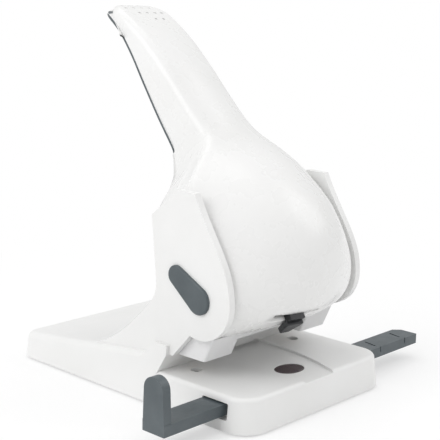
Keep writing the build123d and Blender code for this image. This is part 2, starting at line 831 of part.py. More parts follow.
with BuildPart() as handle_shell:
    add(hood_block.part)
    add(hood_hollow.part, mode=Mode.SUBTRACT)
    add(cover_layer.part, mode=Mode.SUBTRACT)
    # axle and press-bar bores in the side walls
    with BuildSketch(side_plane(0)):
        with Locations((pivot_y, pivot_z)):
            Circle(bush_outer / 2)
        with Locations((press_y, press_z)):
            Circle(press_dia / 2 + 0.02)
    extrude(amount=hood_half + 5, both=True, mode=Mode.SUBTRACT)
    # slot of the lock slider, running on as a thin line
    with BuildSketch(slot_plane.offset(6)):
        with BuildLine():
            Polyline(
                (slot_start, slot_low + 0.8),
                (slot_start + slot_slant, slot_high),
                (slot_line_end, slot_high),
                (slot_line_end, slot_high - slot_line_height),
                (slot_end, slot_high - slot_line_height),
                (slot_end, slot_low),
                (slot_start, slot_low),
                close=True,
            )
        make_face()
    extrude(amount=-13, mode=Mode.SUBTRACT)
    # shallow dish in the arm's top face, between its two rims
    with BuildSketch(arm_plane.offset(dish_height)):
        with Locations((0, (dish_start_s + dish_end_s) / 2)):
            RectangleRounded(2 * dish_half, dish_end_s - dish_start_s, dish_half * 0.7)
    extrude(amount=8, mode=Mode.SUBTRACT)
handle_shell.part.label = "handle_shell"
export_step(handle_shell.part, "parts/handle_shell.step")

channel_start_s = 92.0
channel_end_s = 152.0
channel_half = 11.0
channel_skin = 1.5
channel_roof = 26.5
channel_foot = 17.6
cover_screw_ss = (100.0, 144.0)
cover_screw_dia = 3.0
with BuildPart() as arm_channel:
    with BuildSketch(arm_plane.offset(channel_foot)):
        with Locations((0, (channel_start_s + channel_end_s) / 2)):
            Rectangle(2 * channel_half, channel_end_s - channel_start_s)
    extrude(amount=channel_roof - channel_foot)
    with BuildSketch(arm_plane.offset(channel_foot + channel_skin)):
        with Locations((0, (channel_start_s + channel_end_s) / 2)):
            Rectangle(2 * (channel_half - channel_skin), channel_end_s - channel_start_s + 2)
    extrude(amount=channel_roof, mode=Mode.SUBTRACT)
    with BuildSketch(arm_plane.offset(channel_foot - 1)):
        with Locations([(0, s) for s in cover_screw_ss]):
            Circle(cover_screw_dia / 2 + 0.02)
    extrude(amount=channel_skin + 2, mode=Mode.SUBTRACT)
arm_channel.part.label = "arm_channel"
export_step(arm_channel.part, "parts/arm_channel.step")

screw_post = 3.4
with BuildPart() as grip_cover:
    add(hood_block.part)
    add(cover_layer.part, mode=Mode.INTERSECT)
    # posts that reach the channel inside the arm
    with BuildSketch(arm_plane.offset(channel_foot - 0.05)):
        with Locations([(0, s) for s in cover_screw_ss]):
            Circle(screw_post)
    extrude(amount=-4.5)
    with BuildSketch(arm_plane.offset(channel_foot + 1)):
        with Locations([(0, s) for s in cover_screw_ss]):
            Circle(cover_screw_dia / 2 + 0.02)
    extrude(amount=-12, mode=Mode.SUBTRACT)
    with BuildSketch(arm_plane.offset(channel_foot - 3)):
        with Locations([(0, s) for s in cover_screw_ss]):
            Circle(screw_post - 0.6)
    extrude(amount=-10, mode=Mode.SUBTRACT)
grip_cover.part.label = "grip_cover"
export_step(grip_cover.part, "parts/grip_cover.step")

with BuildPart() as cover_screws:
    with BuildSketch(arm_plane.offset(channel_foot - 3)):
        with Locations([(0, s) for s in cover_screw_ss]):
            Circle(screw_post - 0.7)
    extrude(amount=-1.2)
    with BuildSketch(arm_plane.offset(channel_foot - 3)):
        with Locations([(0, s) for s in cover_screw_ss]):
            Circle(cover_screw_dia / 2)
    extrude(amount=3 + channel_skin + 1.5)
cover_screws.part.label = "cover_screws"
export_step(cover_screws.part, "parts/cover_screws.step")

with BuildPart() as hinge_bushes:
    for side in (-1, 1):
        with BuildSketch(side_plane(side * (hood_inner - bush_flange))):
            with Locations((pivot_y, pivot_z)):
                Circle(bush_outer / 2 + 1.2)
        extrude(amount=side * bush_flange)
        with BuildSketch(side_plane(side * hood_inner)):
            with Locations((pivot_y, pivot_z)):
                Circle(bush_outer / 2 - 0.02)
        extrude(amount=side * hood_wall)
        with BuildSketch(side_plane(side * (hood_inner - bush_flange - 1))):
            with Locations((pivot_y, pivot_z)):
                Circle(axle_dia / 2 + running_fit)
        extrude(amount=side * (hood_wall + bush_flange + 2), mode=Mode.SUBTRACT)
hinge_bushes.part.label = "hinge_bushes"
export_step(hinge_bushes.part, "parts/hinge_bushes.step")

with BuildPart() as press_bar:
    with BuildSketch(side_plane(0)):
        with Locations((press_y, press_z)):
            Circle(press_dia / 2)
    extrude(amount=hood_half - 0.2, both=True)
press_bar.part.label = "press_bar"
export_step(press_bar.part, "parts/press_bar.step")

lever_thick = 2.5
lever_x = 29.0
lever_round = 7.0
lever_reach = 44.0
with BuildPart() as press_levers:
    for side in (-1, 1):
        with BuildSketch(side_plane(side * lever_x)):
            with BuildLine():
                head = on_arm(lever_reach, 30.0)
                heel = on_arm(lever_reach + 14, 14.0)
                Polyline(
                    (pivot_y - lever_round, pivot_z),
                    head,
                    heel,
                    (press_y + lever_round, press_z),
                    (pivot_y, pivot_z - lever_round),
                    close=True,
                )
            make_face()
            with Locations((pivot_y, pivot_z)):
                Circle(lever_round)
            with Locations((press_y, press_z)):
                Circle(lever_round)
            with Locations((pivot_y, pivot_z)):
                Circle(axle_dia / 2 + running_fit, mode=Mode.SUBTRACT)
            with Locations((press_y, press_z)):
                Circle(press_dia / 2 + 0.02, mode=Mode.SUBTRACT)
        extrude(amount=side * lever_thick)
press_levers.part.label = "press_levers"
export_step(press_levers.part, "parts/press_levers.step")

# ---------------------------------------------------------------- lock slider
knob_half = 5.5
knob_low = -14.5
knob_high = -2.4
knob_thick = 3.0
knob_gap = 1.2
retainer_half = 5.4
retainer_depth = 6.2
retainer_thick = 1.5
with BuildPart() as lock_slider:
    with BuildSketch(slot_plane.offset(knob_gap)):
        with BuildLine():
            Polyline(
                (-knob_half, knob_high),
                (knob_half, knob_high),
                (knob_half, knob_high - 4.0),
                (knob_half * 0.55, knob_low),
                (-knob_half * 0.55, knob_low),
                (-knob_half, knob_high - 4.0),
                close=True,
            )
        make_face()
        fillet(vertices(), 1.0)
    extrude(amount=knob_thick)
    out_axis = Axis((0, 0, 0), slot_plane.z_dir)
    fillet(lock_slider.faces().filter_by(out_axis).sort_by(out_axis)[-1].edges(), 0.8)
    with BuildSketch(slot_plane.offset(2 * knob_gap)):
        with Locations((0, (slot_low + slot_high) / 2)):
            Rectangle(2 * slider_neck_half, slot_high - slot_low - 0.8)
    extrude(amount=-(retainer_depth + 2 * knob_gap))
    with BuildSketch(slot_plane.offset(-retainer_depth)):
        with Locations((0, (slot_low + slot_high) / 2)):
            Rectangle(2 * retainer_half, slot_high - slot_low + 3.0)
    extrude(amount=-retainer_thick)
lock_slider.part.label = "lock_slider"
export_step(lock_slider.part, "parts/lock_slider.step")

# ---------------------------------------------------------------- pins and springs
pin_socket = 2.0
tip_hollow = 7.0
spring_clear = 0.06
spring_low = spring_seat_z + spring_wire / 2 + spring_clear
spring_high = cap_low_z - spring_wire / 2 - spring_clear
for side, name in ((-1, "left"), (1, "right")):
    with BuildPart() as punch_pin:
        with BuildSketch(Plane.XY.offset(pin_tip_z)):
            with Locations((side * pin_x, 0)):
                Circle(pin_dia / 2)
        extrude(amount=cap_low_z + pin_socket - pin_tip_z)
        # hollow-ground tip, so that the rim cuts before the middle
        with BuildSketch(Plane.XZ):
            with Locations((side * pin_x, pin_tip_z - tip_hollow + 0.7)):
                Circle(tip_hollow)
        extrude(amount=pin_dia, both=True, mode=Mode.SUBTRACT)
    punch_pin.part.label = f"punch_pin_{name}"
    export_step(punch_pin.part, f"parts/punch_pin_{name}.step")

    with BuildPart() as pin_cap:
        with BuildSketch(Plane.XY.offset(cap_low_z)):
            with Locations((side * pin_x, 0)):
                Circle(cap_dia / 2)
        extrude(amount=cap_thick)
        chamfer(pin_cap.edges().group_by(Axis.Z)[-1], 0.6)
        with BuildSketch(Plane.XY.offset(cap_low_z)):
            with Locations((side * pin_x, 0)):
                Circle(pin_dia / 2 + 0.02)
        extrude(amount=pin_socket, mode=Mode.SUBTRACT)
    pin_cap.part.label = f"pin_cap_{name}"
    export_step(pin_cap.part, f"parts/pin_cap_{name}.step")

    with BuildPart() as return_spring:
        with BuildLine() as coil_line:
            Helix(
                (spring_high - spring_low) / spring_turns,
                spring_high - spring_low,
                spring_mean / 2,
                center=(side * pin_x, 0, spring_low),
            )
        with BuildSketch(Plane(coil_line.line @ 0, z_dir=coil_line.line % 0)):
            Circle(spring_wire / 2)
        sweep(path=coil_line.line, is_frenet=True)
    return_spring.part.label = f"return_spring_{name}"
    export_step(return_spring.part, f"parts/return_spring_{name}.step")
print("least gap between spring turns", (spring_high - spring_low) / spring_turns - spring_wire)
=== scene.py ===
from math import acos, atan2, cos, hypot, pi, radians, sin

import bpy
from mathutils import Matrix, Vector


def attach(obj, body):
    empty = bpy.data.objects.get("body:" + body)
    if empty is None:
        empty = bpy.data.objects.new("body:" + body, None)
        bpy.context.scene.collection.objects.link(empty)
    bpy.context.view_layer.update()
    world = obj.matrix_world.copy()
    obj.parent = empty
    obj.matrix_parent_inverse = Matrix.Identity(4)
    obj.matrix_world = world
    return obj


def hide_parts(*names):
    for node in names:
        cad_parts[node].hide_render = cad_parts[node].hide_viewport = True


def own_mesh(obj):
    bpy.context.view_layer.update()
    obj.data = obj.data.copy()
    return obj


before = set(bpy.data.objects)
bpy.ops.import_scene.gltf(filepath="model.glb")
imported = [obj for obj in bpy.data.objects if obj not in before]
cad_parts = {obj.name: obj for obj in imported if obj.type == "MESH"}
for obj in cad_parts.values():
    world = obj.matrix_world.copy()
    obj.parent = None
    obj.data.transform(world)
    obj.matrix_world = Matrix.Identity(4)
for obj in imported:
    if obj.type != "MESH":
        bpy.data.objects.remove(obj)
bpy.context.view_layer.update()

MM = 0.001

# ---------------------------------------------------------------- camera
CAMERA_AT = Vector((-431.63, -384.98, 211.70)) * MM
CAMERA_TURN = radians(-46.654)     # about Z, from a view along +Y
CAMERA_TILT = radians(11.410)      # looking down
CAMERA_ROLL = radians(0.992)
FOCAL_PX = 1079.35                 # in the photograph's 440 pixels
IMAGE_PX = 440
SENSOR = 36.0


def add_camera():
    """Camera where the photograph was taken from."""
    back = Vector(
        (
            sin(CAMERA_TURN) * cos(CAMERA_TILT),
            -cos(CAMERA_TURN) * cos(CAMERA_TILT),
            sin(CAMERA_TILT),
        )
    )
    level = (-back).cross(Vector((0, 0, 1))).normalized()
    up = level.cross(-back)
    right = cos(CAMERA_ROLL) * level + sin(CAMERA_ROLL) * up
    top = -sin(CAMERA_ROLL) * level + cos(CAMERA_ROLL) * up
    data = bpy.data.cameras.new("photo_camera")
    data.sensor_width = SENSOR
    data.lens = FOCAL_PX * SENSOR / IMAGE_PX
    data.clip_start = 0.01
    camera = bpy.data.objects.new("photo_camera", data)
    bpy.context.scene.collection.objects.link(camera)
    turn = Matrix((right, top, back)).transposed().to_4x4()
    camera.matrix_world = Matrix.Translation(CAMERA_AT) @ turn
    bpy.context.scene.camera = camera


# ---------------------------------------------------------------- node helpers
def new_material(name):
    """A material with its node tree, its shader and its object coordinates."""
    material = bpy.data.materials.new(name)
    material.use_nodes = True
    tree = material.node_tree
    shader = tree.nodes["Principled BSDF"]
    place = tree.nodes.new("ShaderNodeTexCoord").outputs["Object"]
    return material, tree, shader, place


def noise(tree, place, scale, detail=3.0, roughness=0.55):
    """Noise whose features are about 1 / scale metres wide."""
    node = tree.nodes.new("ShaderNodeTexNoise")
    node.inputs["Scale"].default_value = scale
    node.inputs["Detail"].default_value = detail
    node.inputs["Roughness"].default_value = roughness
    tree.links.new(place, node.inputs["Vector"])
    return node.outputs["Fac"]


def spread(tree, value, low, high, start=0.3, end=0.7):
    """The value's range start to end carried over to low to high."""
    node = tree.nodes.new("ShaderNodeMapRange")
    node.inputs["From Min"].default_value = start
    node.inputs["From Max"].default_value = end
    node.inputs["To Min"].default_value = low
    node.inputs["To Max"].default_value = high
    tree.links.new(value, node.inputs["Value"])
    return node.outputs["Result"]


def tint(tree, value, dark, light):
    """Colours between dark and light, by the value."""
    ramp = tree.nodes.new("ShaderNodeValToRGB")
    ramp.color_ramp.elements[0].position = 0.3
    ramp.color_ramp.elements[0].color = (*dark, 1)
    ramp.color_ramp.elements[1].position = 0.7
    ramp.color_ramp.elements[1].color = (*light, 1)
    tree.links.new(value, ramp.inputs["Fac"])
    return ramp.outputs["Color"]


def bump(tree, shader, height, strength, depth):
    """Relief of the given depth in metres."""
    node = tree.nodes.new("ShaderNodeBump")
    node.inputs["Strength"].default_value = strength
    node.inputs["Distance"].default_value = depth
    tree.links.new(height, node.inputs["Height"])
    tree.links.new(node.outputs["Normal"], shader.inputs["Normal"])
    return node


def stretch(tree, place, factors):
    """Coordinates scaled along each axis, for brushed and ground marks."""
    node = tree.nodes.new("ShaderNodeMapping")
    node.inputs["Scale"].default_value = factors
    tree.links.new(place, node.inputs["Vector"])
    return node.outputs["Vector"]


# ---------------------------------------------------------------- materials
def moulded(name, dark, light, roughness, grain, grain_scale=2600, wide_scale=18):
    """Moulded plastic: fine spark-eroded grain, slow shifts of tone and gloss."""
    material, tree, shader, place = new_material(name)
    wide = noise(tree, place, wide_scale, detail=4)
    tree.links.new(tint(tree, wide, dark, light), shader.inputs["Base Color"])
    gloss = spread(tree, noise(tree, place, wide_scale * 5), roughness * 0.88, roughness * 1.12)
    tree.links.new(gloss, shader.inputs["Roughness"])
    bump(tree, shader, noise(tree, place, grain_scale, detail=2), grain, 0.00005)
    shader.inputs["Specular IOR Level"].default_value = 0.5
    return material


def metal(name, dark, light, roughness, marks, marks_scale=900):
    """Ground or plated metal with fine marks along one way."""
    material, tree, shader, place = new_material(name)
    wide = noise(tree, place, 160, detail=4)
    tree.links.new(tint(tree, wide, dark, light), shader.inputs["Base Color"])
    lines = noise(tree, stretch(tree, place, marks), marks_scale, detail=4)
    tree.links.new(
        spread(tree, lines, roughness * 0.75, roughness * 1.3), shader.inputs["Roughness"]
    )
    bump(tree, shader, lines, 0.25, 0.00003)
    shader.inputs["Metallic"].default_value = 1.0
    return material


def rubber(name):
    """Soft black rubber with a dusty bloom."""
    material, tree, shader, place = new_material(name)
    cloud = noise(tree, place, 220, detail=5)
    tree.links.new(
        tint(tree, cloud, (0.018, 0.018, 0.02), (0.04, 0.04, 0.042)), shader.inputs["Base Color"]
    )
    tree.links.new(spread(tree, cloud, 0.7, 0.9), shader.inputs["Roughness"])
    bump(tree, shader, noise(tree, place, 1500), 0.3, 0.0001)
    return material


def window_glass(name):
    """Dark smoked window with the ripple of its moulding."""
    material, tree, shader, place = new_material(name)
    shader.inputs["Base Color"].default_value = (0.052, 0.020, 0.026, 1)
    shader.inputs["Transmission Weight"].default_value = 0.35
    shader.inputs["IOR"].default_value = 1.49
    tree.links.new(spread(tree, noise(tree, place, 90), 0.03, 0.09), shader.inputs["Roughness"])
    bump(tree, shader, noise(tree, place, 130, detail=1), 0.12, 0.0003)
    return material


def add_dimples(material):
    """Small round dimples for the thumb near the tip of the arm, their floors coloured darker grey as
    painted shade.
    """
    tree = material.node_tree
    shader = tree.nodes["Principled BSDF"]
    place = tree.nodes.new("ShaderNodeTexCoord").outputs["Object"]
    nearest = None
    for x, s, h in DIMPLES:
        reach = tree.nodes.new("ShaderNodeVectorMath")
        reach.operation = "DISTANCE"
        tree.links.new(place, reach.inputs[0])
        reach.inputs[1].default_value = (x * MM, *along_arm(s * MM, h * MM))
        value = reach.outputs["Value"]
        if nearest:
            least = tree.nodes.new("ShaderNodeMath")
            least.operation = "MINIMUM"
            tree.links.new(nearest, least.inputs[0])
            tree.links.new(value, least.inputs[1])
            value = least.outputs["Value"]
        nearest = value
    rise = spread(tree, nearest, 0.0, 1.0, DIMPLE_RADIUS * 0.3, DIMPLE_RADIUS)
    fine = shader.inputs["Normal"].links[0].from_node
    pit = tree.nodes.new("ShaderNodeBump")
    pit.inputs["Strength"].default_value = 1.0
    pit.inputs["Distance"].default_value = DIMPLE_DEPTH
    tree.links.new(rise, pit.inputs["Height"])
    tree.links.new(pit.outputs["Normal"], fine.inputs["Normal"])
    # painted shade: each pit's colour is mixed towards a fixed mid grey, darkest at its centre
    dimple_painted_shade = tree.nodes.new("ShaderNodeMix")
    dimple_painted_shade.data_type = "RGBA"
    tree.links.new(rise, dimple_painted_shade.inputs["Factor"])
    dimple_painted_shade.inputs["A"].default_value = (0.50, 0.50, 0.49, 1)
    tree.links.new(shader.inputs["Base Color"].links[0].from_socket, dimple_painted_shade.inputs["B"])
    tree.links.new(dimple_painted_shade.outputs["Result"], shader.inputs["Base Color"])


def dress_nodes():
    """Gives every carried-over node the finish that the real piece has."""
    white = moulded("white_shell", (0.80, 0.80, 0.79), (0.84, 0.84, 0.835), 0.34, 0.05, 500)
    handle_white = moulded(
        "white_handle_shell", (0.81, 0.81, 0.80), (0.85, 0.85, 0.845), 0.28, 0.03, 400
    )
    add_dimples(handle_white)
    jaw_white = moulded("white_jaw_coat", (0.76, 0.76, 0.765), (0.83, 0.83, 0.83), 0.40, 0.08, 600)
    slate = moulded("slate_moulding", (0.066, 0.083, 0.092), (0.10, 0.12, 0.13), 0.42, 0.5, 1700, 45)
    dark = moulded("dark_moulding", (0.035, 0.040, 0.044), (0.06, 0.066, 0.07), 0.5, 0.5, 1500, 40)
    black = moulded("black_moulding", (0.010, 0.011, 0.013), (0.022, 0.024, 0.027), 0.36, 0.4, 1800, 70)
    steel = metal("ground_steel", (0.52, 0.53, 0.54), (0.66, 0.67, 0.68), 0.26, (0.15, 4, 4))
    zinc = metal("zinc_plate", (0.50, 0.51, 0.52), (0.66, 0.67, 0.69), 0.38, (1, 1, 1), 500)
    screw = metal("screw_zinc", (0.42, 0.43, 0.44), (0.58, 0.59, 0.60), 0.34, (1, 1, 1), 1200)
    wire = metal("spring_wire", (0.38, 0.39, 0.40), (0.55, 0.56, 0.58), 0.28, (3, 3, 0.4), 1500)
    blued = metal("blued_tool_steel", (0.025, 0.028, 0.034), (0.055, 0.06, 0.07), 0.3, (0.2, 4, 4))
    bronze = metal("sintered_bronze", (0.42, 0.27, 0.11), (0.58, 0.40, 0.18), 0.5, (1, 1, 1), 2200)
    finishes = {
        "base_housing": white, "jaw_frame": jaw_white, "handle_shell": handle_white,
        "base_plate": dark, "base_screws": screw, "rubber_feet": rubber("foot_rubber"),
        "die_plate": blued, "chip_drawer": slate, "window_lens": window_glass("smoked_window"),
        "guide_spring": wire, "paper_guide": slate, "guide_bushes": bronze, "jaw_screws": screw,
        "pivot_axle": steel, "axle_clips": wire, "pivot_cap_left": slate,
        "pivot_cap_right": slate, "arm_channel": zinc, "grip_cover": slate,
        "cover_screws": screw, "hinge_bushes": bronze, "press_bar": steel,
        "press_levers": zinc, "lock_slider": black, "punch_pin_left": steel,
        "punch_pin_right": steel, "pin_cap_left": zinc, "pin_cap_right": zinc,
        "return_spring_left": wire, "return_spring_right": wire,
    }
    for name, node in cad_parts.items():
        node.data.materials.clear()
        node.data.materials.append(finishes[name])
    return finishes


# ---------------------------------------------------------------- handle's outer form
PIVOT = Vector((0.0, -15.0, 63.0)) * MM
ARM_TURN = radians(46.0)           # the arm's rise above the desk, handle up
HOOD_HALF = 49.6 * MM
ARM_HALF = 20.0 * MM
HOOD_ROUND = 18.5 * MM             # lower end of the hood's sides, about the pivot
HOOD_WALL = 3.0 * MM
THIN_WALL_SHARE = 0.05             # of the wall, left at the tip
WALL_FADE_END_S = 170.0 * MM       # the wall thins over the stretch before this
WALL_FADE_RUN = 12.0 * MM
EDGE_ROUND = 4.5 * MM
TIP_S = 188.5 * MM                 # pivot to tip, along the arm
FLARE_START_S = 84.0 * MM
FLARE_END_S = 50.0 * MM
COVER_START_S = 86.0 * MM
COVER_THICK = 2.2 * MM

# outlines in millimetres: the nose as (y, z), top and underside as (along the arm, above it)
NOSE_MIDDLE = [
    (-28.5, 43.2), (-38.0, 47.5), (-47.5, 54.0), (-53.0, 64.0), (-54.4, 76.0),
    (-53.0, 88.5), (-47.0, 101.0), (-36.0, 113.5), (-18.0, 126.5),
]
NOSE_CORNER = [
    (-21.0, 43.5), (-27.0, 49.0), (-31.5, 57.0), (-33.0, 66.0), (-31.0, 76.0),
    (-25.0, 86.5), (-18.0, 96.5), (-14.5, 101.5), (-9.5, 107.5),
]
TOP_MIDDLE = [
    (70.7, 37.7), (95.0, 36.0), (130.0, 35.2), (152.0, 32.5),
    (170.0, 28.0), (181.0, 22.5), (188.5, 13.5),
]
TOP_CORNER = [
    (51.5, 25.5), (68.0, 17.0), (92.0, 21.5), (125.0, 28.5),
    (165.0, 26.5), (180.0, 20.5), (188.5, 11.0),
]
UNDER = [
    (72.0, -1.0), (90.0, 7.2), (108.0, 9.6), (130.0, 13.5),
    (150.0, 17.3), (168.0, 18.5), (180.0, 14.5), (187.5, 9.0),
]
FLARE = [(50.0, 1.0), (58.5, 0.77), (64.5, 0.5), (69.5, 0.27), (75.0, 0.09), (84.0, 0.0)]
ROOT = (62.0, 0.5)                 # rear corner between the hood's side and the arm
COVER_START_H = 5.9 * MM           # height of the underside where the grip strip starts
TIP_HALF_LEAST = 0.4 * MM          # half the width that the round tip ends on
ARC_STEPS = 12
FLARE_STEPS = 6
DIMPLE_RADIUS = 1.1 * MM
DIMPLE_DEPTH = 0.5 * MM
DIMPLES = [
    (x, s, h)
    for s, h, row in (
        (181.5, 22.0, (-9.0, -3.0, 3.0)),
        (176.5, 24.8, (-10.5, -4.5, 1.5, 7.5)),
        (170.5, 27.6, (-5.5, 0.5, 6.5, 12.0)),
        (164.0, 29.6, (2.0, 8.0)),
    )
    for x in row
]


def along_arm(s, h):
    """Place in the side view, as (y, z), s along the arm from the pivot and h above it."""
    return (
        PIVOT.y + s * cos(ARM_TURN) - h * sin(ARM_TURN),
        PIVOT.z + s * sin(ARM_TURN) + h * cos(ARM_TURN),
    )


def arm_s(y, z):
    """How far along the arm a place in the side view lies."""
    return (y - PIVOT.y) * cos(ARM_TURN) + (z - PIVOT.z) * sin(ARM_TURN)


def smooth_line(points, steps):
    """Points on a smooth curve through the given ones, steps to each stretch."""
    line = []
    for i in range(len(points) - 1):
        before = points[max(i - 1, 0)]
        a, b = points[i], points[i + 1]
        after = points[min(i + 2, len(points) - 1)]
        for j in range(steps):
            t = j / steps
            line.append(tuple(
                0.5 * (2 * a[k] + (b[k] - before[k]) * t
                       + (2 * before[k] - 5 * a[k] + 4 * b[k] - after[k]) * t ** 2
                       + (3 * a[k] - before[k] - 3 * b[k] + after[k]) * t ** 3)
                for k in (0, 1)
            ))
    line.append(tuple(points[-1]))
    return line


def outer_line(nose, top, steps):
    """Outline from the nose's lower edge over the top to the tip, as (y, z)."""
    points = [(y * MM, z * MM) for y, z in nose]
    points += [along_arm(s * MM, h * MM) for s, h in top]
    return smooth_line(points, steps)


def half_width(s):
    """Half the width of hood and arm, by the place along the arm."""
    if s <= FLARE_END_S:
        return HOOD_HALF
    if s >= TIP_S - ARM_HALF:
        over = min((s - TIP_S + ARM_HALF) / ARM_HALF, 1.0)
        return max(ARM_HALF * (1 - over ** 2) ** 0.5, TIP_HALF_LEAST)
    if s >= FLARE_START_S:
        return ARM_HALF
    line = smooth_line([(a * MM, b) for a, b in FLARE], FLARE_STEPS)
    for (s0, f0), (s1, f1) in zip(line, line[1:]):
        if s0 <= s <= s1:
            share = f0 + (f1 - f0) * (s - s0) / (s1 - s0)
            return ARM_HALF + share * (HOOD_HALF - ARM_HALF)
    return ARM_HALF


def side_rear():
    """Line that the hood's sides end on, from below the pivot round to the arm's underside."""
    root = along_arm(ROOT[0] * MM, ROOT[1] * MM)
    reach = ((root[0] - PIVOT.y) ** 2 + (root[1] - PIVOT.z) ** 2) ** 0.5
    toward = atan2(root[1] - PIVOT.z, root[0] - PIVOT.y)
    leave = toward - acos(HOOD_ROUND / reach)
    arc = [
        (PIVOT.y + HOOD_ROUND * cos(a), PIVOT.z + HOOD_ROUND * sin(a))
        for a in [-pi / 2 + (leave + pi / 2) * i / ARC_STEPS for i in range(ARC_STEPS + 1)]
    ]
    return arc + [root, along_arm(UNDER[0][0] * MM, UNDER[0][1] * MM)]


def even_points(line, count):
    """The line again with count points, evenly spaced by length."""
    runs = [0.0]
    for a, b in zip(line, line[1:]):
        runs.append(runs[-1] + hypot(b[0] - a[0], b[1] - a[1]))
    out = []
    k = 0
    for i in range(count):
        want = runs[-1] * i / (count - 1)
        while k < len(runs) - 2 and runs[k + 1] < want:
            k += 1
        f = (want - runs[k]) / max(runs[k + 1] - runs[k], 1e-9)
        a, b = line[k], line[k + 1]
        out.append((a[0] + f * (b[0] - a[0]), a[1] + f * (b[1] - a[1])))
    return out


def covered_under():
    """The part of the arm's underside that the grip strip covers, in metres."""
    return [(s * MM, h * MM) for s, h in UNDER if s * MM > COVER_START_S]


def skin_rear(neck, total):
    """The rear line in step with the outer line: neck steps to the arm's root, then the arm."""
    side = side_rear()
    arm = [
        side[-1],
        along_arm(COVER_START_S, COVER_START_H),
        along_arm(COVER_START_S, COVER_START_H + COVER_THICK),
    ]
    arm += smooth_line([along_arm(s, h + COVER_THICK) for s, h in covered_under()], STEPS)
    return even_points(side, neck + 1)[:-1] + even_points(arm, total - neck)


def make_mesh(name, points, faces, body, node, finish):
    """A smooth-shaded piece on a body that stands for a CAD node."""
    mesh = bpy.data.meshes.new(name)
    mesh.from_pydata(points, [], faces)
    mesh.update()
    for polygon in mesh.polygons:
        polygon.use_smooth = True
    piece = bpy.data.objects.new(name, mesh)
    bpy.context.scene.collection.objects.link(piece)
    mesh.materials.append(finish)
    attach(piece, body)
    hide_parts(node)
    return piece


STEPS = 8                          # rows of the skin for each stretch of its outlines
SIDE_STEPS = 8
SHARES = [                         # columns across the flat of the top
    -1, -0.9, -0.8, -0.7, -0.61, -0.5, -0.4, -0.3, -0.215, -0.1, 0.047,
    0.2, 0.3, 0.4, 0.5, 0.6, 0.7, 0.8, 0.9, 1,
]
EDGE_TURNS = [90, 72, 54, 36, 18]  # degrees round the edge, for the columns there
SLOT_ROWS = (13, 17)               # rows of the skin that the slider's slot takes up
SLIT_ROWS = (16, 17)
SLOT_SPAN = (-0.61, -0.215)        # shares of the half width
SLIT_SPAN = (-0.215, 0.047)


def add_hood(finish):
    """Hood and arm as one skin with a crowned top, rounded edges and an open rear."""
    middle = outer_line(NOSE_MIDDLE, TOP_MIDDLE, STEPS)
    corner = outer_line(NOSE_CORNER, TOP_CORNER, STEPS)
    total = len(middle)
    neck = len(NOSE_MIDDLE) * STEPS
    rear = skin_rear(neck, total)
    columns = [(-1, radians(a)) for a in EDGE_TURNS] + [(u, 0.0) for u in SHARES]
    columns += [(1, radians(a)) for a in reversed(EDGE_TURNS)]

    def on_line(t, share):
        a, b = middle[t], corner[t]
        return (a[0] + share * (b[0] - a[0]), a[1] + share * (b[1] - a[1]))

    points = []
    for t in range(total):
        row = []
        for u, turn in columns:
            place = middle[t]
            for _ in range(4):
                width = half_width(arm_s(*place))
                edge = min(EDGE_ROUND, 0.6 * width)
                if turn:
                    x = u * (width - edge + edge * sin(turn))
                else:
                    x = u * (width - edge)
                place = on_line(t, (x / HOOD_HALF) ** 2)
            drop = edge * (1 - cos(turn))
            share = (x / HOOD_HALF) ** 2
            a, b = on_line(max(t - 1, 0), share), on_line(min(t + 1, total - 1), share)
            run = max(hypot(b[0] - a[0], b[1] - a[1]), 1e-9)
            row.append((
                x,
                place[0] + drop * (b[1] - a[1]) / run,
                place[1] - drop * (b[0] - a[0]) / run,
            ))
        left, right = [], []
        for j in range(1, SIDE_STEPS + 1):
            share = j / SIDE_STEPS
            for side, end, side_points in ((-1, row[0], left), (1, row[-1], right)):
                y = end[1] + share * (rear[t][0] - end[1])
                z = end[2] + share * (rear[t][1] - end[2])
                side_points.append((side * half_width(arm_s(y, z)), y, z))
        points.append(list(reversed(left)) + row + right)
    wide = len(points[0])
    first = SIDE_STEPS + len(EDGE_TURNS)
    cut = set()
    for rows, span in ((SLOT_ROWS, SLOT_SPAN), (SLIT_ROWS, SLIT_SPAN)):
        for t in range(*rows):
            for k in range(len(SHARES) - 1):
                if span[0] <= SHARES[k] and SHARES[k + 1] <= span[1]:
                    cut.add((t, first + k))
    faces = [
        (t * wide + k, t * wide + k + 1, (t + 1) * wide + k + 1, (t + 1) * wide + k)
        for t in range(total - 1) for k in range(wide - 1) if (t, k) not in cut
    ]
    last = (total - 1) * wide
    faces.append(tuple(last + k for k in range(wide)))
    # floor of the arm between its root and the grip cover
    lip = [t for t in range(neck, total) if arm_s(*rear[t]) < COVER_START_S - 0.3 * MM]
    for t in lip:
        faces.append((t * wide, (t + 1) * wide, (t + 1) * wide + wide - 1, t * wide + wide - 1))
    flat = [p for row in points for p in row]
    piece = make_mesh("hood_skin", flat, faces, "handle", "handle_shell", finish)
    wall = piece.vertex_groups.new(name="wall")
    for i, (x, y, z) in enumerate(flat):
        fade = (WALL_FADE_END_S - arm_s(y, z)) / WALL_FADE_RUN
        wall.add([i], max(THIN_WALL_SHARE, min(1.0, fade)), "REPLACE")
    solid = piece.modifiers.new("wall", "SOLIDIFY")
    solid.thickness = HOOD_WALL
    solid.offset = -1.0
    solid.vertex_group = "wall"
    return piece


STRIP_EDGE = 0.8 * MM


